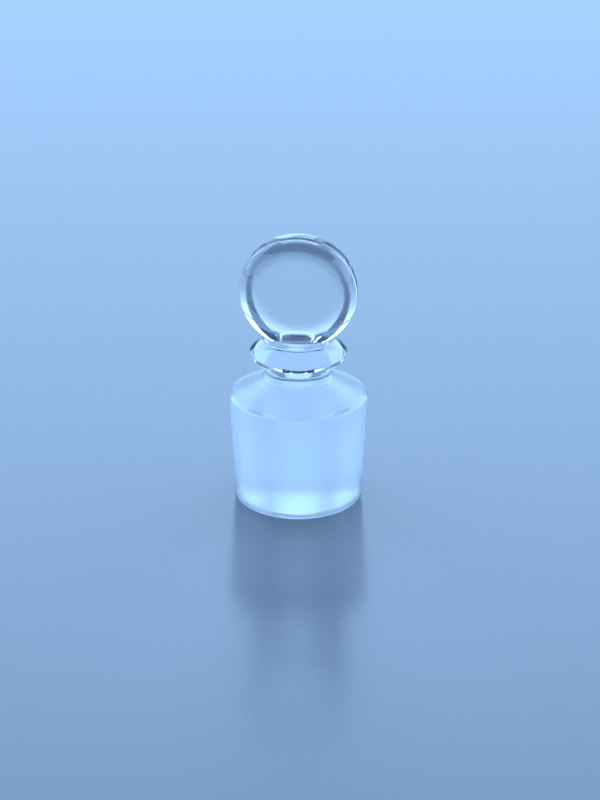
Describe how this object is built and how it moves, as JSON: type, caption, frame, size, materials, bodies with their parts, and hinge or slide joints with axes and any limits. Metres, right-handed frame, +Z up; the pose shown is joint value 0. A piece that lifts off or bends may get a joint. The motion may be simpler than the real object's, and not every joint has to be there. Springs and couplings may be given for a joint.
{
  "type": "glass stopper",
  "caption": "Solid glass stopper with a ground conical plug, sloping shoulder, short neck, conical collar and an upright round disc grip.",
  "frame": {"origin": "centre of the flat rim under the plug, at the bottom of the stopper", "axes": "+Z runs up the stopper's axis from the plug to the grip, and the grip's flat faces look along +Y and -Y"},
  "size_m": [0.024, 0.024, 0.0488],
  "materials": {
    "stopper_glass": "clear fire-polished glass, with a fine ground frosted band on the plug and its flat rim"
  },
  "bodies": {
    "root": {"stopper": "stopper_glass"}
  },
  "joints": []
}
